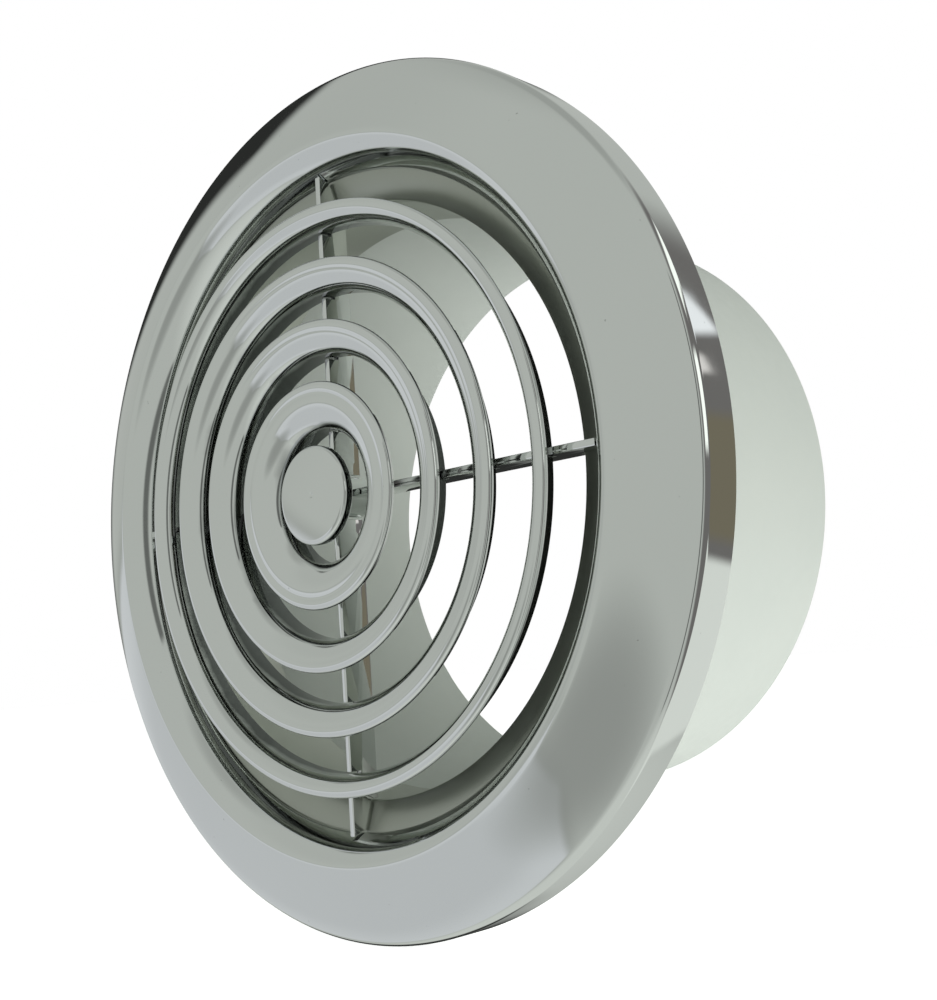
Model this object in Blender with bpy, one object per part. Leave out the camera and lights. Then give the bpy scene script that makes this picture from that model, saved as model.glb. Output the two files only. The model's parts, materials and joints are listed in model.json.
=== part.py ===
"""Round ceiling air diffuser for a 125 mm duct: a chromed flange with four concentric cone rings
on a four-armed cross, clipped into a white spigot sleeve.

The diffuser's axis is the world Y axis. The grille faces -Y and the spigot points to +Y.
The origin lies on the axis, in the plane where the flange's rim meets the ceiling.
Outlines are (radius, y) points in metres, turned about the Y axis.
"""

import math

import bmesh
import bpy
from mathutils import Matrix, Vector

# Driving dimensions, in metres
FLANGE_RADIUS = 0.084
RIM_DEPTH = 0.0066
RIM_CORNER_RADIUS = 0.0020
FLANGE_WALL = 0.0018
SHOULDER_RADIUS = 0.0700
SHOULDER_Y = -0.0133
THROAT_RADIUS = 0.0636
THROAT_Y = -0.0073
THROAT_RETURN = 0.0007
THROAT_WALL = 0.0012
# The two handles of the curve that rolls the flange from its shoulder into the throat
ROLL_HANDLES = ((0.0675, -0.01391), (0.0649, -0.0103))
# Height of the dome's arc over its chord, which makes it leave the rim corner without a crease
DOME_BULGE = 0.00043
COLLAR_RADIUS = 0.0580
COLLAR_FRONT_Y = -0.0043
COLLAR_END_Y = 0.0140
COLLAR_WALL = 0.0011
SLEEVE_OUTER_RADIUS = 0.0620
SLEEVE_WALL = 0.0014
SLEEVE_LENGTH = 0.0680
FIXING_RING_RADIUS = 0.0740
FIXING_RING_THICKNESS = 0.0022
SCREW_HOLE_RADIUS = 0.0022
SCREW_CIRCLE_RADIUS = 0.0680
SEAL_INNER_RADIUS = 0.0748
SEAL_OUTER_RADIUS = 0.0812
SEAL_DEPTH = 0.0030
# Each cone ring, outermost first: lip radius, inner wall radius, y of the front of its lip
CONE_RINGS = (
    (0.0567, 0.0525, -0.0138),
    (0.0456, 0.0396, -0.0147),
    (0.0336, 0.0274, -0.0155),
    (0.0218, 0.0130, -0.0153),
)
RING_WALL = 0.0012
RING_LIP_WIDTH = 0.0022
RING_REAR_Y = -0.0072
RIB_THICKNESS = 0.0013
RIB_FRONT_Y = -0.0093
RIB_REAR_Y = -0.0029
RIB_END_GAP = 0.0004
RIB_END_FLARE = 0.0008
HUB_RADIUS = 0.0040
CAP_RADIUS = 0.0095
CAP_FRONT_Y = -0.0151
CAP_THICKNESS = 0.0024
CLIP_HALF_ANGLE = math.radians(4.0)
CLIP_FRONT_Y = 0.0025
CLIP_REAR_Y = 0.0130
CLIP_THICKNESS = 0.0006
CLIP_BARB = 0.0003
GAP = 0.0003

FULL_TURN = 2.0 * math.pi
RIB_NAMES = ("rib_right", "rib_top", "rib_left", "rib_bottom")

CHROME = ((0.80, 0.82, 0.81, 1.0), 0.06, 1.0)
WHITE_PLASTIC = ((0.82, 0.84, 0.82, 1.0), 0.38, 0.0)
GREY_FOAM = ((0.20, 0.21, 0.22, 1.0), 0.95, 0.0)


def clear_scene():
    for obj in list(bpy.data.objects):
        bpy.data.objects.remove(obj, do_unlink=True)


def new_material(name, finish):
    colour, roughness, metallic = finish
    material = bpy.data.materials.new(name)
    material.use_nodes = True
    shader = material.node_tree.nodes["Principled BSDF"]
    shader.inputs["Base Color"].default_value = colour
    shader.inputs["Roughness"].default_value = roughness
    shader.inputs["Metallic"].default_value = metallic
    material.diffuse_color = colour
    return material


def new_object(name, bm, finish, sharp_angle=math.radians(35)):
    """Turns a bmesh into a named object with its own material and outward normals."""
    bmesh.ops.remove_doubles(bm, verts=bm.verts, dist=1e-7)
    bmesh.ops.recalc_face_normals(bm, faces=bm.faces)
    mesh = bpy.data.meshes.new(name)
    bm.to_mesh(mesh)
    bm.free()
    mesh.shade_smooth()
    mesh.set_sharp_from_angle(angle=sharp_angle)
    mesh.materials.append(new_material(name, finish))
    obj = bpy.data.objects.new(name, mesh)
    bpy.context.scene.collection.objects.link(obj)
    return obj


def arc_through(start, end, bulge, steps):
    """Points after start up to end on a circular arc. bulge is the arc's height, left of the chord."""
    chord = Vector(end) - Vector(start)
    normal = Vector((-chord.y, chord.x)).normalized()
    half = chord.length / 2
    radius = (half * half + bulge * bulge) / (2 * abs(bulge))
    centre = (Vector(start) + Vector(end)) / 2 + normal * (bulge - math.copysign(radius, bulge))
    first = math.atan2(start[1] - centre.y, start[0] - centre.x)
    last = math.atan2(end[1] - centre.y, end[0] - centre.x)
    turn = (last - first + math.pi) % FULL_TURN - math.pi
    angles = [first + turn * step / steps for step in range(1, steps + 1)]
    return [(centre.x + radius * math.cos(a), centre.y + radius * math.sin(a)) for a in angles]


def spin_outline(bm, outline, steps, angle=FULL_TURN, start_angle=0.0, closed=True):
    """Turns an outline of (radius, y) points about the Y axis, with a cap at each end of a part turn."""
    turned = Matrix.Rotation(-start_angle, 3, "Y")
    verts = [bm.verts.new(turned @ Vector((radius, y, 0.0))) for radius, y in outline]
    count = len(verts)
    edges = [bm.edges.new((verts[i], verts[(i + 1) % count])) for i in range(count if closed else count - 1)]
    whole = math.isclose(angle, FULL_TURN)
    geometry = verts + edges if whole else verts + edges + [bm.faces.new(verts)]
    bmesh.ops.spin(
        bm,
        geom=geometry,
        cent=(0.0, 0.0, 0.0),
        axis=(0.0, -1.0, 0.0),
        angle=angle,
        steps=steps,
        use_merge=whole,
        use_duplicate=False,
    )


def turned_object(name, outline, finish, steps, closed=True):
    bm = bmesh.new()
    spin_outline(bm, outline, steps, closed=closed)
    return new_object(name, bm, finish)


def bezier_through(start, handles, end, steps):
    """Points after start up to end on a cubic Bezier curve with two handles."""
    corners = [Vector(point) for point in (start, *handles, end)]
    points = []
    for step in range(1, steps + 1):
        t = step / steps
        shares = ((1 - t) ** 3, 3 * t * (1 - t) ** 2, 3 * t * t * (1 - t), t**3)
        weighted = [share * corner for share, corner in zip(shares, corners)]
        points.append(tuple(sum(weighted, Vector((0.0, 0.0)))))
    return points


def flange_outline():
    """The domed flange: side wall, rim corner, dome, a roll into the throat, and back along the underside."""
    corner_centre = (FLANGE_RADIUS - RIM_CORNER_RADIUS, -RIM_DEPTH)
    corner_turn = math.radians(62)
    outer = [(FLANGE_RADIUS, 0.0)]
    for angle in (0.0, corner_turn / 2, corner_turn):
        radius = corner_centre[0] + RIM_CORNER_RADIUS * math.cos(angle)
        outer.append((radius, corner_centre[1] - RIM_CORNER_RADIUS * math.sin(angle)))
    shoulder = (SHOULDER_RADIUS, SHOULDER_Y)
    return_y = THROAT_Y + THROAT_RETURN
    outer += arc_through(outer[-1], shoulder, DOME_BULGE, 5)
    outer += bezier_through(shoulder, ROLL_HANDLES, (THROAT_RADIUS, THROAT_Y), 6)
    outer += [(THROAT_RADIUS, return_y)]
    inner_rim = FLANGE_RADIUS - FLANGE_WALL
    inner = [(THROAT_RADIUS + THROAT_WALL, return_y), (0.0665, -0.0100)]
    inner += [(SHOULDER_RADIUS, SHOULDER_Y + FLANGE_WALL)]
    inner += arc_through(inner[-1], (inner_rim - 0.0006, -RIM_DEPTH - 0.0006), -DOME_BULGE, 3)
    inner += [(inner_rim, -RIM_DEPTH + 0.0006), (inner_rim, 0.0)]
    return outer + inner


def cone_outline(lip_radius, wall_radius, front_y):
    """A cone ring: a rounded lip, a concave bell that turns towards the duct, and a straight wall."""
    lip_inner = lip_radius - RING_LIP_WIDTH
    bell_end = (wall_radius, front_y + 0.0034)
    front = [(lip_radius, front_y + 0.0011), (lip_radius - 0.0005, front_y + 0.0003)]
    front += [(lip_radius - 0.0012, front_y), (lip_inner, front_y + 0.0004)]
    bell = arc_through(front[-1], bell_end, 0.18 * (lip_inner - wall_radius), 3)
    wall = [(wall_radius, RING_REAR_Y), (wall_radius + RING_WALL, RING_REAR_Y)]
    wall += [(wall_radius + RING_WALL, front_y + 0.0042)]
    back_middle = (wall_radius + RING_WALL + lip_radius) / 2 - 0.0001
    back = [(back_middle, front_y + 0.0025), (lip_radius - 0.0004, front_y + 0.0019)]
    return front + bell + wall + back


def make_flange_trim():
    return turned_object("flange_trim", flange_outline(), CHROME, 60)


def make_throat_ledge():
    """The sloping ring behind the flange's throat, down to the collar's bore."""
    ledge_y = THROAT_Y + THROAT_RETURN + GAP
    ledge_outer = THROAT_RADIUS + COLLAR_WALL
    outline = [(ledge_outer, ledge_y), (THROAT_RADIUS, ledge_y), (COLLAR_RADIUS, COLLAR_FRONT_Y)]
    outline += [(COLLAR_RADIUS, COLLAR_FRONT_Y + COLLAR_WALL), (ledge_outer, ledge_y + COLLAR_WALL)]
    turned_object("throat_ledge", outline, CHROME, 60)


def make_grille_collar():
    """The short tube behind the ledge, which enters the sleeve."""
    front_y = COLLAR_FRONT_Y + COLLAR_WALL + GAP
    outer = COLLAR_RADIUS + COLLAR_WALL
    outline = [(outer, front_y), (COLLAR_RADIUS, front_y), (COLLAR_RADIUS, COLLAR_END_Y), (outer, COLLAR_END_Y)]
    turned_object("grille_collar", outline, CHROME, 60)


def make_cone_rings():
    for number, (lip_radius, wall_radius, front_y) in enumerate(CONE_RINGS, start=1):
        steps = 60 if lip_radius > 0.03 else 40
        turned_object(f"cone_ring_{number}", cone_outline(lip_radius, wall_radius, front_y), CHROME, steps)


def rib_outline():
    """One arm of the cross, which ends along the throat's ledge, with a notch for each ring's wall."""
    ledge_y = THROAT_Y + THROAT_RETURN + GAP
    end_radius = THROAT_RADIUS - GAP
    collar_radius = COLLAR_RADIUS - GAP
    outline = [(HUB_RADIUS + GAP, RIB_REAR_Y), (collar_radius, RIB_REAR_Y)]
    outline += [(collar_radius, COLLAR_FRONT_Y - RIB_END_GAP), (end_radius, ledge_y - RIB_END_GAP)]
    outline += [(end_radius, THROAT_Y), (end_radius + RIB_END_FLARE, RIB_FRONT_Y)]
    notch_y = RING_REAR_Y + GAP
    for _, wall_radius, _ in CONE_RINGS:
        notch_outer = wall_radius + RING_WALL + GAP
        notch_inner = wall_radius - GAP
        outline += [(notch_outer, RIB_FRONT_Y), (notch_outer, notch_y)]
        outline += [(notch_inner, notch_y), (notch_inner, RIB_FRONT_Y)]
    return outline + [(HUB_RADIUS + GAP, RIB_FRONT_Y)]


def make_ribs():
    """Four arms, a quarter turn apart, starting with the one along +X."""
    half = Vector((0.0, 0.0, RIB_THICKNESS / 2))
    for quarter, name in enumerate(RIB_NAMES):
        bm = bmesh.new()
        face = bm.faces.new([bm.verts.new(Vector((radius, y, 0.0)) - half) for radius, y in rib_outline()])
        grown = bmesh.ops.extrude_face_region(bm, geom=[face])["geom"]
        new_verts = [item for item in grown if isinstance(item, bmesh.types.BMVert)]
        bmesh.ops.translate(bm, verts=new_verts, vec=2 * half)
        bmesh.ops.rotate(bm, verts=bm.verts, matrix=Matrix.Rotation(-quarter * math.pi / 2, 3, "Y"))
        new_object(name, bm, CHROME)


def make_centre_hub():
    front_y = CAP_FRONT_Y + CAP_THICKNESS + GAP
    outline = [(0.0, front_y), (HUB_RADIUS, front_y), (HUB_RADIUS, RIB_REAR_Y), (0.0, RIB_REAR_Y)]
    return turned_object("centre_hub", outline, CHROME, 24, closed=False)


def make_centre_cap():
    """The round disc at the middle, with a rounded edge and a small moulding dimple."""
    rear_y = CAP_FRONT_Y + CAP_THICKNESS
    outline = [(0.0, CAP_FRONT_Y + 0.0003), (0.0006, CAP_FRONT_Y)]
    outline += [(CAP_RADIUS - 0.0009, CAP_FRONT_Y), (CAP_RADIUS - 0.0003, CAP_FRONT_Y + 0.0003)]
    outline += [(CAP_RADIUS, CAP_FRONT_Y + 0.0010), (CAP_RADIUS, rear_y), (0.0, rear_y)]
    return turned_object("centre_cap", outline, CHROME, 40, closed=False)


def make_snap_clips():
    """Four barbed tongues outside the collar, midway between the ribs, which grip the sleeve."""
    root = COLLAR_RADIUS + COLLAR_WALL + GAP
    outer = root + CLIP_THICKNESS
    outline = [(root, CLIP_FRONT_Y), (outer, CLIP_FRONT_Y), (outer, CLIP_REAR_Y - 0.0040)]
    outline += [(outer + CLIP_BARB, CLIP_REAR_Y - 0.0030), (outer, CLIP_REAR_Y), (root, CLIP_REAR_Y)]
    for number in range(4):
        bm = bmesh.new()
        middle = math.pi / 4 + number * math.pi / 2
        spin_outline(bm, outline, 4, 2 * CLIP_HALF_ANGLE, middle - CLIP_HALF_ANGLE)
        new_object(f"snap_clip_{number + 1}", bm, CHROME)


def make_spigot_sleeve():
    """The white tube that enters the duct."""
    inner = SLEEVE_OUTER_RADIUS - SLEEVE_WALL
    outline = [(SLEEVE_OUTER_RADIUS, -FIXING_RING_THICKNESS), (inner, -FIXING_RING_THICKNESS)]
    outline += [(inner, SLEEVE_LENGTH)]
    outline += [(SLEEVE_OUTER_RADIUS - 0.0004, SLEEVE_LENGTH), (SLEEVE_OUTER_RADIUS, SLEEVE_LENGTH - 0.0008)]
    turned_object("spigot_sleeve", outline, WHITE_PLASTIC, 60)


def screw_hole_cutter():
    """Four round pins, one mesh, that cut the screw holes through the fixing ring."""
    bm = bmesh.new()
    for number in range(4):
        angle = number * math.pi / 2 + math.pi / 4
        centre = (SCREW_CIRCLE_RADIUS * math.cos(angle), 0.0, SCREW_CIRCLE_RADIUS * math.sin(angle))
        bmesh.ops.create_cone(
            bm,
            cap_ends=True,
            segments=16,
            radius1=SCREW_HOLE_RADIUS,
            radius2=SCREW_HOLE_RADIUS,
            depth=10 * FIXING_RING_THICKNESS,
            matrix=Matrix.Translation(centre) @ Matrix.Rotation(math.pi / 2, 4, "X"),
        )
    cutter = new_object("screw_hole_cutter", bm, WHITE_PLASTIC)
    cutter.hide_render = True
    cutter.display_type = "WIRE"
    return cutter


def make_fixing_ring():
    """The flat ring round the sleeve's front end, which is screwed to the ceiling under the flange."""
    inner = SLEEVE_OUTER_RADIUS + GAP
    outline = [(inner, 0.0), (FIXING_RING_RADIUS, 0.0)]
    outline += [(FIXING_RING_RADIUS, -FIXING_RING_THICKNESS), (inner, -FIXING_RING_THICKNESS)]
    ring = turned_object("fixing_ring", outline, WHITE_PLASTIC, 60)
    cut = ring.modifiers.new("screw_holes", "BOOLEAN")
    cut.operation = "DIFFERENCE"
    cut.object = screw_hole_cutter()


def make_ceiling_seal():
    outline = [(SEAL_INNER_RADIUS, 0.0), (SEAL_OUTER_RADIUS, 0.0)]
    outline += [(SEAL_OUTER_RADIUS, -SEAL_DEPTH), (SEAL_INNER_RADIUS, -SEAL_DEPTH)]
    return turned_object("ceiling_seal", outline, GREY_FOAM, 60)


def main():
    clear_scene()
    make_flange_trim()
    make_throat_ledge()
    make_grille_collar()
    make_cone_rings()
    make_ribs()
    make_centre_hub()
    make_centre_cap()
    make_snap_clips()
    make_spigot_sleeve()
    make_fixing_ring()
    make_ceiling_seal()


main()
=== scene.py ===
"""Looks for the round ceiling air diffuser: finely turned chrome pieces, a satin white sleeve,
a white floor and backdrop, and a soft light tent for the chrome to reflect.

The diffuser's axis is the world Y axis, and the grille faces -Y. Outlines are (radius, y) in metres.
"""

import json
import math

import bmesh
import bpy
from mathutils import Matrix, Vector


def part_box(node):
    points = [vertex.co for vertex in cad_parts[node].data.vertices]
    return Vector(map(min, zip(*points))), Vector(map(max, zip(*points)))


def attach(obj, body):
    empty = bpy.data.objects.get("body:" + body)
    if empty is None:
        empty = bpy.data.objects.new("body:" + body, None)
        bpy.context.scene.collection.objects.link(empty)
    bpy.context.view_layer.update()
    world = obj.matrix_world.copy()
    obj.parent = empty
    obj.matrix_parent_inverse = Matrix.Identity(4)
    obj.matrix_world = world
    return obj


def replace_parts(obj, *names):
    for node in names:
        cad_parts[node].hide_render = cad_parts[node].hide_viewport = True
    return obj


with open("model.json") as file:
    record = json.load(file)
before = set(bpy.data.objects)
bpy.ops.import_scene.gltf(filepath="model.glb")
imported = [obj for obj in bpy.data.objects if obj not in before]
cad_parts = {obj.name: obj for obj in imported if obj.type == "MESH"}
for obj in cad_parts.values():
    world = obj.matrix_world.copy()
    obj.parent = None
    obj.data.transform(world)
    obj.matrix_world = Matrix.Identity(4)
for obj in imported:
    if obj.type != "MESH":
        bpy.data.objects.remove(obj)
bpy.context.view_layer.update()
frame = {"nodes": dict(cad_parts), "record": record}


def reach(node):
    """How far a CAD node reaches along +X, which is a turned node's radius, and its front and rear y."""
    low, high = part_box(node)
    return high.x, low.y, high.y


FULL_TURN = 2.0 * math.pi
SHARP_ANGLE = math.radians(32)
MERGE_DISTANCE = 1e-7

# Steps round a turned piece, and along each curve of an outline
TURN_STEPS = 256
FLANGE_TURN_STEPS = 360
CAP_TURN_STEPS = 160
HUB_TURN_STEPS = 96
FILLET_STEPS = 6
RIM_CORNER_STEPS = 12
DOME_STEPS = 36
ROLL_STEPS = 32
UNDERSIDE_STEPS = 12
LIP_STEPS = 14
BELL_STEPS = 16
BELL_BACK_STEPS = 8

# The gap between two CAD nodes, and the fillet of an edge that has no other
GAP = 0.0003
EDGE_FILLET = 0.0003

# The throat's ledge and the collar behind it
COLLAR_WALL = 0.0011
LEDGE_FILLET = 0.0004
LEDGE_OUTER, LEDGE_FRONT_Y, LEDGE_REAR_Y = reach("throat_ledge")
COLLAR_OUTER, COLLAR_TUBE_Y, COLLAR_END_Y = reach("grille_collar")
COLLAR_RADIUS = COLLAR_OUTER - COLLAR_WALL
COLLAR_FRONT_Y = LEDGE_REAR_Y - COLLAR_WALL

# The flange. Its throat stands in front of the ledge, with the same bore.
FLANGE_RADIUS, SHOULDER_Y, _ = reach("flange_trim")
SHOULDER = (0.0700, SHOULDER_Y)
RIM_DEPTH = 0.0066
RIM_CORNER_RADIUS = 0.0020
RIM_CORNER_TURN = math.radians(62)
DOME_BULGE = 0.00043
# The two handles of the curve that rolls the flange from its shoulder into the throat
ROLL_HANDLES = ((0.0675, -0.01391), (0.0649, -0.0103))
THROAT_RADIUS = LEDGE_OUTER - COLLAR_WALL
THROAT_RETURN_Y = LEDGE_FRONT_Y - GAP
THROAT_RETURN = 0.0007
THROAT_Y = THROAT_RETURN_Y - THROAT_RETURN
THROAT_WALL = 0.0012
FLANGE_WALL = 0.0018
UNDERSIDE_ROLL = (0.0665, -0.0100)
UNDERSIDE_RIM = (0.0816, -0.0072)
RIM_INNER_RADIUS = 0.0822
RIM_INNER_Y = -0.0060

# The cone rings, outermost first, with the radius of each one's bore
RING_BORES = {"cone_ring_1": 0.0525, "cone_ring_2": 0.0396, "cone_ring_3": 0.0274, "cone_ring_4": 0.0130}
RING_REAR_Y = reach("cone_ring_1")[2]
RING_WALL = 0.0012
RING_CHAMFER = 0.0002
# Points of a ring's outline: how far in from its lip, and how far back from its front
LIP_BACK = (0.0004, 0.0019)
LIP_EDGE = (0.0, 0.0011)
LIP_HANDLES = ((0.0001, 0.0002), (0.0009, -0.00005))
BELL_START = (0.0022, 0.0004)
BELL_END_DEPTH = 0.0034
BELL_BULGE_SHARE = 0.18
BELL_BACK_DEPTH = 0.0042
BELL_BACK_BULGE = 0.0006
# How far behind its front a ring's painted recess shade begins and is full, and how uneven its edge is
RECESS_DEPTHS = (0.0022, 0.0044)
RECESS_UNEVENNESS = 0.0006

# The cross, its hub and the cap on it
RIBS = ("rib_right", "rib_top", "rib_left", "rib_bottom")
RIB_HALF_THICKNESS, RIB_FRONT_Y, RIB_REAR_Y = reach("rib_top")
RIB_END_GAP = 0.0004
RIB_END_FLARE = 0.0008
RIB_EDGE_BEVEL = 0.00012
RIB_EDGE_MIN_ANGLE = 1.0
LEVEL_TOLERANCE = 1e-6
HUB_RADIUS, HUB_FRONT_Y, HUB_REAR_Y = reach("centre_hub")
HUB_CHAMFER = 0.0004
CAP_RADIUS, CAP_FRONT_Y, CAP_REAR_Y = reach("centre_cap")
CAP_FILLET = 0.0009
# The dimple in the middle of the cap, as (radius, depth) points
CAP_DIMPLE = ((0.0, 0.00035), (0.0003, 0.0003), (0.0006, 0.0))

# The spigot sleeve
SLEEVE_OUTER, SLEEVE_FRONT_Y, SLEEVE_REAR_Y = reach("spigot_sleeve")
SLEEVE_WALL = 0.0014
SLEEVE_REAR_FILLETS = (0.0004, 0.0006)

# Pairs of tones that a finish varies between, and single colours
CHROME_TONES = ((0.81, 0.825, 0.815), (0.85, 0.865, 0.855))
# The ledge and collar tones are darker as painted shade
COLLAR_SHADE_TONES = ((0.42, 0.44, 0.39), (0.48, 0.50, 0.45))
WHITE_TONES = ((0.62, 0.665, 0.62), (0.67, 0.71, 0.66))
FOAM_TONES = ((0.045, 0.048, 0.05), (0.11, 0.115, 0.12))
# The colour of the painted shade in the rings' recesses
RECESS_SHADE_COLOUR = (0.10, 0.105, 0.105)
DUST_COLOUR = (0.30, 0.31, 0.30)
COLLAR_DULLNESS = 0.28

# The tent's tints, and the share of its light that the plating reflects
GREEN = (0.98, 1.03, 0.97)
BLUISH = (0.97, 1.01, 1.03)
BROWN = (1.03, 1.0, 0.97)
AMBER = (1.10, 1.0, 0.72)
PLATING_REFLECTANCE = 0.83
# A patch of the tent fades out a quarter turn from its middle, over this much of the cosine
FAR_SIDE_FADE = 0.05

FLOOR_HALF_SIZE = 4.0
FLOOR_GAP = 0.0002
FLOOR_GLOW = 0.74

# The camera: angles in degrees, lens and sensor in millimetres, place in metres
CAMERA_AZIMUTH = 43.639
CAMERA_ELEVATION = -7.305
CAMERA_ROLL = -3.878
CAMERA_LENS = 46.8
CAMERA_SENSOR = 36.0
CAMERA_SHIFT_Y = -0.0035
CAMERA_PLACE = (0.190025, -0.171147, -0.033586)
CAMERA_CLIP = (0.005, 50.0)


def filleted(points):
    """The outline with its corners rounded. A point is (radius, y) or (radius, y, fillet radius)."""
    smooth = []
    count = len(points)
    for i, point in enumerate(points):
        corner = Vector(point[:2])
        fillet = point[2] if len(point) > 2 else 0.0
        if fillet <= 0.0:
            smooth.append(tuple(corner))
            continue
        before = (Vector(points[i - 1][:2]) - corner).normalized()
        after = (Vector(points[(i + 1) % count][:2]) - corner).normalized()
        half_angle = before.angle(after) / 2.0
        setback = fillet / math.tan(half_angle)
        start = corner + before * setback
        end = corner + after * setback
        for step in range(FILLET_STEPS + 1):
            t = step / FILLET_STEPS
            # A conic whose middle weight makes it an exact arc
            weight = math.sin(half_angle)
            share = ((1 - t) ** 2, 2 * t * (1 - t) * weight, t**2)
            smooth.append(tuple((start * share[0] + corner * share[1] + end * share[2]) / sum(share)))
    return smooth


def arc_points(start, end, bulge, steps):
    """Points after start, up to end, on an arc whose height is bulge, left of the chord."""
    chord = Vector(end) - Vector(start)
    normal = Vector((-chord.y, chord.x)).normalized()
    half = chord.length / 2.0
    radius = (half * half + bulge * bulge) / (2.0 * abs(bulge))
    centre = (Vector(start) + Vector(end)) / 2.0 + normal * (bulge - math.copysign(radius, bulge))
    first = math.atan2(start[1] - centre.y, start[0] - centre.x)
    last = math.atan2(end[1] - centre.y, end[0] - centre.x)
    turn = (last - first + math.pi) % FULL_TURN - math.pi
    angles = [first + turn * k / steps for k in range(1, steps + 1)]
    return [(centre.x + radius * math.cos(a), centre.y + radius * math.sin(a)) for a in angles]


def bezier_points(start, handles, end, steps):
    """Points after start, up to end, on a cubic Bezier curve with two handles."""
    corners = [Vector(point) for point in (start, *handles, end)]
    points = []
    for step in range(1, steps + 1):
        t = step / steps
        shares = ((1 - t) ** 3, 3 * t * (1 - t) ** 2, 3 * t * t * (1 - t), t**3)
        points.append(tuple(sum((a * c for a, c in zip(shares, corners)), Vector((0.0, 0.0)))))
    return points


def piece_from(bm, name, body, material):
    """The mesh as a piece with one finish, smooth apart from its sharp edges, which rides on the body."""
    bmesh.ops.remove_doubles(bm, verts=bm.verts, dist=MERGE_DISTANCE)
    bmesh.ops.recalc_face_normals(bm, faces=bm.faces)
    mesh = bpy.data.meshes.new(name)
    bm.to_mesh(mesh)
    bm.free()
    mesh.shade_smooth()
    mesh.set_sharp_from_angle(angle=SHARP_ANGLE)
    mesh.materials.append(material)
    obj = bpy.data.objects.new(name, mesh)
    bpy.context.scene.collection.objects.link(obj)
    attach(obj, body)
    return obj


def turn_outline(bm, outline, steps, closed):
    """Turns an outline of (radius, y) points once about the Y axis."""
    verts = [bm.verts.new((radius, y, 0.0)) for radius, y in outline]
    count = len(verts)
    edge_count = count if closed else count - 1
    edges = [bm.edges.new((verts[i], verts[(i + 1) % count])) for i in range(edge_count)]
    bmesh.ops.spin(
        bm,
        geom=verts + edges,
        cent=(0.0, 0.0, 0.0),
        axis=(0.0, -1.0, 0.0),
        angle=FULL_TURN,
        steps=steps,
        use_merge=True,
        use_duplicate=False,
    )


def turned_piece(node, outline, body, material, steps=TURN_STEPS, closed=True):
    """Stands a finely turned piece in for the CAD node."""
    bm = bmesh.new()
    turn_outline(bm, outline, steps, closed)
    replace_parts(piece_from(bm, "fine_" + node, body, material), node)


def chromed_piece(node, outline, plating, steps=TURN_STEPS, closed=True):
    turned_piece(node, outline, "grille", plating, steps, closed)


# ---------------------------------------------------------------- materials


def new_nodes(name):
    material = bpy.data.materials.new(name)
    material.use_nodes = True
    tree = material.node_tree
    return material, tree.nodes, tree.links, tree.nodes["Principled BSDF"]


def noise(nodes, links, vector, scale, detail=3.0):
    texture = nodes.new("ShaderNodeTexNoise")
    texture.inputs["Scale"].default_value = scale
    texture.inputs["Detail"].default_value = detail
    links.new(vector, texture.inputs["Vector"])
    return texture.outputs["Fac"]


def ranged(nodes, links, value, source, target):
    """The value mapped from the source range to the target range, and held inside it."""
    mapped = nodes.new("ShaderNodeMapRange")
    mapped.clamp = True
    links.new(value, mapped.inputs["Value"])
    for socket, number in zip(("From Min", "From Max", "To Min", "To Max"), (*source, *target)):
        mapped.inputs[socket].default_value = number
    return mapped.outputs["Result"]


def bumped(nodes, links, height, distance, below=None):
    """The normal of a surface with this relief, on top of the relief below."""
    bump = nodes.new("ShaderNodeBump")
    bump.inputs["Strength"].default_value = 1.0
    bump.inputs["Distance"].default_value = distance
    links.new(height, bump.inputs["Height"])
    if below is not None:
        links.new(below, bump.inputs["Normal"])
    return bump.outputs["Normal"]


def mixed_colour(nodes, links, fac, colour_a, colour_b):
    mix = nodes.new("ShaderNodeMix")
    mix.data_type = "RGBA"
    links.new(fac, mix.inputs["Factor"])
    for socket, colour in (("A", colour_a), ("B", colour_b)):
        target = [s for s in mix.inputs if s.name == socket and s.type == "RGBA"][0]
        if isinstance(colour, tuple):
            target.default_value = colour + (1.0,)
        else:
            links.new(colour, target)
    return [s for s in mix.outputs if s.type == "RGBA"][0]


def chrome_material(name="chrome_plating", tones=CHROME_TONES, dull=0.0, recess=None):
    """Bright plating on moulded plastic: long soft waves, fine haze, and a few dust specks."""
    material, nodes, links, shader = new_nodes(name)
    place = nodes.new("ShaderNodeTexCoord").outputs["Object"]
    shader.inputs["Metallic"].default_value = 1.0
    haze = noise(nodes, links, place, scale=140.0, detail=4.0)
    roughness = ranged(nodes, links, haze, source=(0.35, 0.75), target=(0.035 + dull, 0.085 + dull))
    links.new(roughness, shader.inputs["Roughness"])
    tone = noise(nodes, links, place, scale=22.0, detail=2.0)
    plating = mixed_colour(nodes, links, tone, *tones)
    dust = noise(nodes, links, place, scale=900.0, detail=1.0)
    speck = ranged(nodes, links, dust, source=(0.80, 0.82), target=(0.0, 0.4))
    # Painted shade in the recess, from one y to the other
    if recess is not None:
        plating = paint_recess_shade(nodes, links, place, plating, recess)
    links.new(mixed_colour(nodes, links, speck, plating, DUST_COLOUR), shader.inputs["Base Color"])
    waves = noise(nodes, links, place, scale=28.0, detail=1.0)
    long_waves = bumped(nodes, links, waves, distance=0.00006)
    ripple = noise(nodes, links, place, scale=260.0, detail=2.0)
    normal = bumped(nodes, links, ripple, distance=0.0000025, below=long_waves)
    links.new(normal, shader.inputs["Normal"])
    return material


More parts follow.
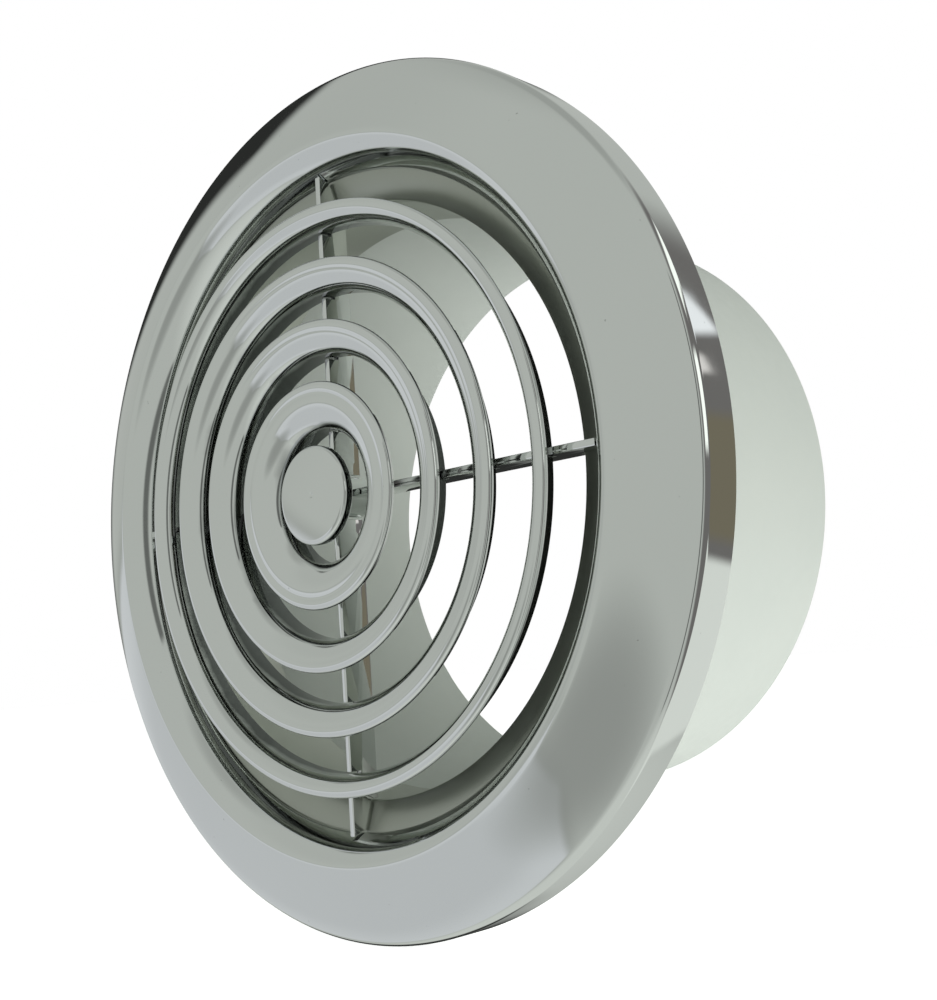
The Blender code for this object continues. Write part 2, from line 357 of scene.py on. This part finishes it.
def paint_recess_shade(nodes, links, place, plating, recess):
    """The plating painted darker from one y to the other, with a patchy edge: painted shade in the recess.
    A stand-in: the tent alone leaves the recess too light."""
    split = nodes.new("ShaderNodeSeparateXYZ")
    links.new(place, split.inputs[0])
    patches = noise(nodes, links, place, scale=120.0)
    shift = ranged(nodes, links, patches, source=(0.3, 0.7), target=(-RECESS_UNEVENNESS, RECESS_UNEVENNESS))
    depth = nodes.new("ShaderNodeMath")
    depth.operation = "ADD"
    links.new(split.outputs["Y"], depth.inputs[0])
    links.new(shift, depth.inputs[1])
    darkness = ranged(nodes, links, depth.outputs[0], source=recess, target=(0.0, 0.9))
    return mixed_colour(nodes, links, darkness, plating, RECESS_SHADE_COLOUR)


def white_plastic_material():
    """Satin white plastic with a faint grain."""
    material, nodes, links, shader = new_nodes("white_plastic")
    place = nodes.new("ShaderNodeTexCoord").outputs["Object"]
    tone = noise(nodes, links, place, scale=35.0, detail=4.0)
    links.new(mixed_colour(nodes, links, tone, *WHITE_TONES), shader.inputs["Base Color"])
    haze = noise(nodes, links, place, scale=400.0, detail=3.0)
    roughness = ranged(nodes, links, haze, source=(0.3, 0.7), target=(0.36, 0.50))
    links.new(roughness, shader.inputs["Roughness"])
    grain = noise(nodes, links, place, scale=1800.0, detail=2.0)
    links.new(bumped(nodes, links, grain, distance=0.00001), shader.inputs["Normal"])
    return material


def foam_material():
    """Dark closed-cell foam."""
    material, nodes, links, shader = new_nodes("foam")
    place = nodes.new("ShaderNodeTexCoord").outputs["Object"]
    cells = nodes.new("ShaderNodeTexVoronoi")
    cells.inputs["Scale"].default_value = 1600.0
    links.new(place, cells.inputs["Vector"])
    tone = ranged(nodes, links, cells.outputs["Distance"], source=(0.0, 0.7), target=(0.0, 1.0))
    links.new(mixed_colour(nodes, links, tone, *FOAM_TONES), shader.inputs["Base Color"])
    shader.inputs["Roughness"].default_value = 0.92
    relief = bumped(nodes, links, cells.outputs["Distance"], distance=0.0003)
    links.new(relief, shader.inputs["Normal"])
    return material


# ---------------------------------------------------------------- pieces


def flange_outline():
    """Side wall, rim corner, dome and the smooth roll into the throat, then back along the underside."""
    corner_centre = (FLANGE_RADIUS - RIM_CORNER_RADIUS, -RIM_DEPTH)
    outline = [(FLANGE_RADIUS, 0.0)]
    for step in range(RIM_CORNER_STEPS + 1):
        angle = RIM_CORNER_TURN * step / RIM_CORNER_STEPS
        radius = corner_centre[0] + RIM_CORNER_RADIUS * math.cos(angle)
        outline.append((radius, corner_centre[1] - RIM_CORNER_RADIUS * math.sin(angle)))
    outline += arc_points(outline[-1], SHOULDER, DOME_BULGE, DOME_STEPS)
    outline += bezier_points(SHOULDER, ROLL_HANDLES, (THROAT_RADIUS, THROAT_Y), ROLL_STEPS)
    outline += [(THROAT_RADIUS, THROAT_RETURN_Y), (THROAT_RADIUS + THROAT_WALL, THROAT_RETURN_Y)]
    outline += [UNDERSIDE_ROLL, (SHOULDER[0], SHOULDER[1] + FLANGE_WALL)]
    outline += arc_points(outline[-1], UNDERSIDE_RIM, -DOME_BULGE, UNDERSIDE_STEPS)
    outline += [(RIM_INNER_RADIUS, RIM_INNER_Y), (RIM_INNER_RADIUS, 0.0)]
    return outline


def cone_outline(lip_radius, bore_radius, front_y):
    """Rounded lip, concave bell, straight wall, and the hollow back of the bell."""

    def from_lip(inwards, back):
        return lip_radius - inwards, front_y + back

    lip_back, bell_start = from_lip(*LIP_BACK), from_lip(*BELL_START)
    outline = [lip_back, from_lip(*LIP_EDGE)]
    handles = [from_lip(*handle) for handle in LIP_HANDLES]
    outline += bezier_points(outline[-1], handles, bell_start, LIP_STEPS)
    bulge = BELL_BULGE_SHARE * (bell_start[0] - bore_radius)
    outline += arc_points(bell_start, (bore_radius, front_y + BELL_END_DEPTH), bulge, BELL_STEPS)
    wall_radius = bore_radius + RING_WALL
    chamfer_y = RING_REAR_Y - RING_CHAMFER
    outline += [(bore_radius, chamfer_y), (bore_radius + RING_CHAMFER, RING_REAR_Y)]
    outline += [(wall_radius - RING_CHAMFER, RING_REAR_Y), (wall_radius, chamfer_y)]
    outline += [(wall_radius, front_y + BELL_BACK_DEPTH)]
    outline += arc_points(outline[-1], lip_back, -BELL_BACK_BULGE, BELL_BACK_STEPS)
    return outline[:-1]


def make_rings():
    for node, bore_radius in RING_BORES.items():
        lip_radius, front_y, _ = reach(node)
        # Each ring's plating carries painted shade in its recess
        recess = tuple(front_y + depth for depth in RECESS_DEPTHS)
        plating = chrome_material(node + "_plating", recess=recess)
        chromed_piece(node, cone_outline(lip_radius, bore_radius, front_y), plating)


def make_ledge_and_collar():
    """The sloping band behind the throat and the tube behind it, both duller than the rest, and darker with
    painted shade.
    """
    # Painted shade: the ledge and collar plating has darker tones
    plating = chrome_material("collar_plating_painted_shade", COLLAR_SHADE_TONES, COLLAR_DULLNESS)
    ledge = [(LEDGE_OUTER, LEDGE_FRONT_Y), (THROAT_RADIUS, LEDGE_FRONT_Y)]
    ledge += [(COLLAR_RADIUS, COLLAR_FRONT_Y, LEDGE_FILLET), (COLLAR_RADIUS, LEDGE_REAR_Y)]
    ledge += [(LEDGE_OUTER, LEDGE_FRONT_Y + COLLAR_WALL)]
    chromed_piece("throat_ledge", filleted(ledge), plating)
    collar = [(COLLAR_OUTER, COLLAR_TUBE_Y), (COLLAR_RADIUS, COLLAR_TUBE_Y)]
    collar += [(COLLAR_RADIUS, COLLAR_END_Y, EDGE_FILLET), (COLLAR_OUTER, COLLAR_END_Y, EDGE_FILLET)]
    chromed_piece("grille_collar", filleted(collar), plating)


def make_cap(plating):
    dimple = [(radius, CAP_FRONT_Y + depth) for radius, depth in CAP_DIMPLE]
    disc = [dimple[-1], (CAP_RADIUS, CAP_FRONT_Y, CAP_FILLET), (CAP_RADIUS, CAP_REAR_Y, EDGE_FILLET)]
    disc += [(0.0, CAP_REAR_Y)]
    chromed_piece("centre_cap", dimple[:-1] + filleted(disc), plating, CAP_TURN_STEPS, closed=False)


def make_hub(plating):
    outline = [(0.0, HUB_FRONT_Y), (HUB_RADIUS, HUB_FRONT_Y), (HUB_RADIUS, HUB_REAR_Y - HUB_CHAMFER)]
    outline += [(HUB_RADIUS - HUB_CHAMFER, HUB_REAR_Y), (0.0, HUB_REAR_Y)]
    chromed_piece("centre_hub", outline, plating, HUB_TURN_STEPS, closed=False)


def rib_outline():
    """An arm's side: along its rear, up the ledge's slope at its end, and back past the rings' notches."""
    inner_radius = HUB_RADIUS + GAP
    collar_radius = COLLAR_RADIUS - GAP
    end_radius = THROAT_RADIUS - GAP
    outline = [(inner_radius, RIB_REAR_Y), (collar_radius, RIB_REAR_Y)]
    outline += [(collar_radius, COLLAR_FRONT_Y - RIB_END_GAP), (end_radius, LEDGE_FRONT_Y - RIB_END_GAP)]
    outline += [(end_radius, THROAT_Y), (end_radius + RIB_END_FLARE, RIB_FRONT_Y)]
    notch_y = RING_REAR_Y + GAP
    for bore_radius in RING_BORES.values():
        outer, inner = bore_radius + RING_WALL + GAP, bore_radius - GAP
        outline += [(outer, RIB_FRONT_Y), (outer, notch_y), (inner, notch_y), (inner, RIB_FRONT_Y)]
    return outline + [(inner_radius, RIB_FRONT_Y)]


def is_long_edge(edge):
    """Whether an edge runs round one of an arm's two flat sides."""
    start, end = edge.verts
    level = abs(start.co.z - end.co.z) < LEVEL_TOLERANCE
    return level and edge.calc_face_angle(0.0) > RIB_EDGE_MIN_ANGLE


def make_ribs(plating):
    """Four flat arms with softened edges."""
    outline = rib_outline()
    half = Vector((0.0, 0.0, RIB_HALF_THICKNESS))
    for quarter, node in enumerate(RIBS):
        bm = bmesh.new()
        face = bm.faces.new([bm.verts.new(Vector((radius, y, 0.0)) - half) for radius, y in outline])
        grown = bmesh.ops.extrude_face_region(bm, geom=[face])["geom"]
        far_side = [item for item in grown if isinstance(item, bmesh.types.BMVert)]
        bmesh.ops.translate(bm, verts=far_side, vec=2.0 * half)
        long_edges = [edge for edge in bm.edges if is_long_edge(edge)]
        bmesh.ops.bevel(bm, geom=long_edges, offset=RIB_EDGE_BEVEL, segments=2, affect="EDGES", profile=0.5)
        bmesh.ops.rotate(bm, verts=bm.verts, matrix=Matrix.Rotation(-quarter * math.pi / 2.0, 3, "Y"))
        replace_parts(piece_from(bm, "fine_" + node, "grille", plating), node)


def make_sleeve(plastic):
    inner = SLEEVE_OUTER - SLEEVE_WALL
    inner_fillet, outer_fillet = SLEEVE_REAR_FILLETS
    outline = [(SLEEVE_OUTER, SLEEVE_FRONT_Y, EDGE_FILLET), (inner, SLEEVE_FRONT_Y, EDGE_FILLET)]
    outline += [(inner, SLEEVE_REAR_Y, inner_fillet), (SLEEVE_OUTER, SLEEVE_REAR_Y, outer_fillet)]
    turned_piece("spigot_sleeve", filleted(outline), "sleeve", plastic)


def make_pieces(chrome, white):
    chromed_piece("flange_trim", flange_outline(), chrome, FLANGE_TURN_STEPS)
    make_rings()
    make_ledge_and_collar()
    make_cap(chrome)
    make_hub(chrome)
    make_ribs(chrome)
    make_sleeve(white)


# ---------------------------------------------------------------- light and camera


class Sky:
    """Builds the light tent as layers over the direction that a ray leaves in."""

    def __init__(self, base):
        world = bpy.data.worlds.new("light_tent")
        bpy.context.scene.world = world
        world.use_nodes = True
        self.nodes, self.links = world.node_tree.nodes, world.node_tree.links
        self.nodes.clear()
        self.ray = self.nodes.new("ShaderNodeTexCoord").outputs["Generated"]
        colour = self.nodes.new("ShaderNodeRGB")
        colour.outputs[0].default_value = base + (1.0,)
        self.colour = colour.outputs[0]

    def math(self, operation, a, b=None):
        node = self.nodes.new("ShaderNodeMath")
        node.operation = operation
        for socket, value in zip(node.inputs, (a, b)):
            if value is None:
                continue
            if isinstance(value, (int, float)):
                socket.default_value = value
            else:
                self.links.new(value, socket)
        return node.outputs[0]

    def towards(self, direction):
        """The cosine of the angle between the ray and the direction."""
        dot = self.nodes.new("ShaderNodeVectorMath")
        dot.operation = "DOT_PRODUCT"
        self.links.new(self.ray, dot.inputs[0])
        dot.inputs[1].default_value = Vector(direction).normalized()
        return dot.outputs["Value"]

    def step(self, value, low, high):
        """0 below low, 1 above high, and smooth between them."""
        mapped = self.nodes.new("ShaderNodeMapRange")
        mapped.interpolation_type = "SMOOTHSTEP"
        self.links.new(value, mapped.inputs["Value"])
        mapped.inputs["From Min"].default_value = low
        mapped.inputs["From Max"].default_value = high
        return mapped.outputs["Result"]

    def layer(self, mask, colour):
        """Lays the colour over all the layers so far, where the mask is 1."""
        self.colour = mixed_colour(self.nodes, self.links, mask, self.colour, colour)

    def disc(self, azimuth, elevation, radius, edge, colour, amount=1.0):
        """A round soft patch. All angles in degrees; edge is the width of its soft border."""
        value = self.towards(direction_of(azimuth, elevation))
        outer = math.cos(math.radians(radius + edge / 2))
        inner = math.cos(math.radians(radius - edge / 2))
        mask = self.step(value, outer, inner)
        self.layer(self.math("MULTIPLY", mask, amount), colour)

    def panel(self, azimuth, elevation, width, height, edge, colour):
        """A soft rectangular patch, its sides width and height in degrees."""
        forward = direction_of(azimuth, elevation)
        side = direction_of(azimuth + 90, 0)
        up = side.cross(-forward).normalized()
        mask = self.step(self.towards(forward), 0.0, FAR_SIDE_FADE)
        for axis, size in ((side, width), (up, height)):
            across = self.math("ABSOLUTE", self.math("DIVIDE", self.towards(axis), self.towards(forward)))
            inner = math.tan(math.radians(max(size - edge, 0.1) / 2))
            outer = math.tan(math.radians((size + edge) / 2))
            mask = self.math("MULTIPLY", mask, self.math("SUBTRACT", 1.0, self.step(across, inner, outer)))
        self.layer(mask, colour)

    def sheet(self, corners, edge, colour):
        """A soft convex patch between corners, which are (azimuth, elevation) pairs in order."""
        directions = [direction_of(*corner) for corner in corners]
        middle = sum(directions, Vector((0.0, 0.0, 0.0))).normalized()
        soft = math.sin(math.radians(edge)) / 2.0
        mask = self.step(self.towards(middle), 0.0, FAR_SIDE_FADE)
        for i, here in enumerate(directions):
            side = here.cross(directions[(i + 1) % len(directions)]).normalized()
            if side.dot(middle) < 0.0:
                side = -side
            mask = self.math("MULTIPLY", mask, self.step(self.towards(side), -soft, soft))
        self.layer(mask, colour)

    def finish(self, backdrop):
        """What the camera sees directly is the plain backdrop."""
        path = self.nodes.new("ShaderNodeLightPath").outputs["Is Camera Ray"]
        self.layer(path, backdrop)
        background = self.nodes.new("ShaderNodeBackground")
        output = self.nodes.new("ShaderNodeOutputWorld")
        self.links.new(self.colour, background.inputs["Color"])
        self.links.new(background.outputs[0], output.inputs["Surface"])


def direction_of(azimuth, elevation):
    """Azimuth 0 is -Y, the way the grille faces, and 90 is +X."""
    a, e = math.radians(azimuth), math.radians(elevation)
    return Vector((math.sin(a) * math.cos(e), -math.cos(a) * math.cos(e), math.sin(e)))


def seen(level, tint=GREEN):
    """The linear light that the plating shows at a display level of 0 to 255."""
    value = level / 255.0
    linear = value / 12.92 if value <= 0.04045 else ((value + 0.055) / 1.055) ** 2.4
    return tuple(linear * share / PLATING_REFLECTANCE for share in tint)


def make_tent():
    """A made-up light tent: soft grey-green, with a dim room on one side."""
    sky = Sky(seen(170))
    # A disc is azimuth, elevation, radius and edge, and a panel azimuth, elevation, width, height and edge
    sky.disc(0, 90, 27, 18, seen(150))
    sky.disc(-90, 35, 36, 24, seen(164), 0.7)
    sky.disc(180, -80, 42, 26, seen(190))
    # Beyond the flange's right side: a dim room with bright openings
    sky.disc(122, 4, 54, 14, seen(100, BROWN))
    sky.panel(54, -4, 9, 84, 4, seen(96))
    sky.panel(96, 14, 30, 20, 4, seen(252))
    sky.panel(128, 40, 44, 12, 4, seen(250))
    sky.panel(138, 1, 26, 20, 3, seen(102, AMBER))
    sky.panel(146, 27, 15, 7, 2, seen(228, BLUISH))
    sky.panel(142, 19, 12, 3, 1.5, seen(205, BROWN))
    sky.panel(144, -33, 40, 42, 2, seen(205))
    # Behind the object, as the camera looks, it is dark
    sky.disc(-136, 4, 26, 14, seen(42))
    sky.sheet(((-140, 1), (-122, 6), (-101, 20), (-81, 37), (-89, 50), (-140, 50)), 6, seen(40))
    sky.disc(-126, -38, 17, 8, seen(46))
    # A pale card low on the left, with a soft dark outline
    card = ((-118, -3), (-68, 9), (-33, -7), (-16, -30), (-15, -48), (-60, -53), (-90, -35))
    sky.sheet(card, 8, seen(124))
    sky.sheet(card, 2, seen(190, BLUISH))
    card_middle = ((-106, -8), (-68, 2), (-38, -12), (-24, -32), (-24, -44), (-60, -46), (-84, -33))
    sky.sheet(card_middle, 9, seen(180, BLUISH))
    sky.disc(-9, -26, 13, 20, seen(130), 0.8)
    sky.finish((1.0, 1.0, 1.0))


def make_floor():
    """A white floor that shows only the soft contact shadow, and that the chrome doesn't mirror."""
    mesh = bpy.data.meshes.new("floor")
    level = -FLANGE_RADIUS - FLOOR_GAP
    signs = ((-1, -1), (1, -1), (1, 1), (-1, 1))
    corners = [(x * FLOOR_HALF_SIZE, y * FLOOR_HALF_SIZE, level) for x, y in signs]
    mesh.from_pydata(corners, [], [(0, 1, 2, 3)])
    floor = bpy.data.objects.new("floor", mesh)
    bpy.context.scene.collection.objects.link(floor)
    material, _, _, shader = new_nodes("floor")
    shader.inputs["Base Color"].default_value = (0.9, 0.9, 0.9, 1.0)
    shader.inputs["Roughness"].default_value = 1.0
    shader.inputs["Emission Color"].default_value = (1.0, 1.0, 1.0, 1.0)
    shader.inputs["Emission Strength"].default_value = FLOOR_GLOW
    mesh.materials.append(material)
    floor.visible_glossy = False


def make_light(name, azimuth, elevation, distance, size, power):
    """A soft rectangular lamp that the chrome doesn't mirror."""
    data = bpy.data.lights.new(name, "AREA")
    data.shape = "RECTANGLE"
    data.size, data.size_y = size
    data.energy = power
    light = bpy.data.objects.new(name, data)
    bpy.context.scene.collection.objects.link(light)
    forward = direction_of(azimuth, elevation)
    light.location = forward * distance
    light.rotation_euler = forward.to_track_quat("Z", "Y").to_euler()
    light.visible_glossy = False


def make_camera():
    """Looks at the grille from its +X side and slightly below."""
    data = bpy.data.cameras.new("camera")
    data.lens = CAMERA_LENS
    data.sensor_width = CAMERA_SENSOR
    data.sensor_fit = "AUTO"
    data.shift_y = CAMERA_SHIFT_Y
    data.clip_start, data.clip_end = CAMERA_CLIP
    camera = bpy.data.objects.new("camera", data)
    bpy.context.scene.collection.objects.link(camera)
    back = direction_of(CAMERA_AZIMUTH, CAMERA_ELEVATION)
    right = direction_of(CAMERA_AZIMUTH + 90, 0)
    up = back.cross(right)
    turned = Matrix((right, up, back)).transposed() @ Matrix.Rotation(math.radians(CAMERA_ROLL), 3, "Z")
    camera.matrix_world = Matrix.Translation(CAMERA_PLACE) @ turned.to_4x4()
    bpy.context.scene.camera = camera


def build_scene():
    chrome, white, foam = chrome_material(), white_plastic_material(), foam_material()
    make_pieces(chrome, white)
    looks = {"chrome_plating": chrome, "white_plastic": white, "foam": foam}
    slots = {entry["node"]: entry["material_slot"] for entry in frame["record"]["subparts"]}
    for node, obj in frame["nodes"].items():
        obj.data.materials.clear()
        obj.data.materials.append(looks[slots[node]])
    bpy.context.scene.view_settings.view_transform = "Standard"
    make_tent()
    make_floor()
    make_light("side_softbox", azimuth=78, elevation=12, distance=0.9, size=(0.5, 0.6), power=1.6)
    make_camera()


build_scene()
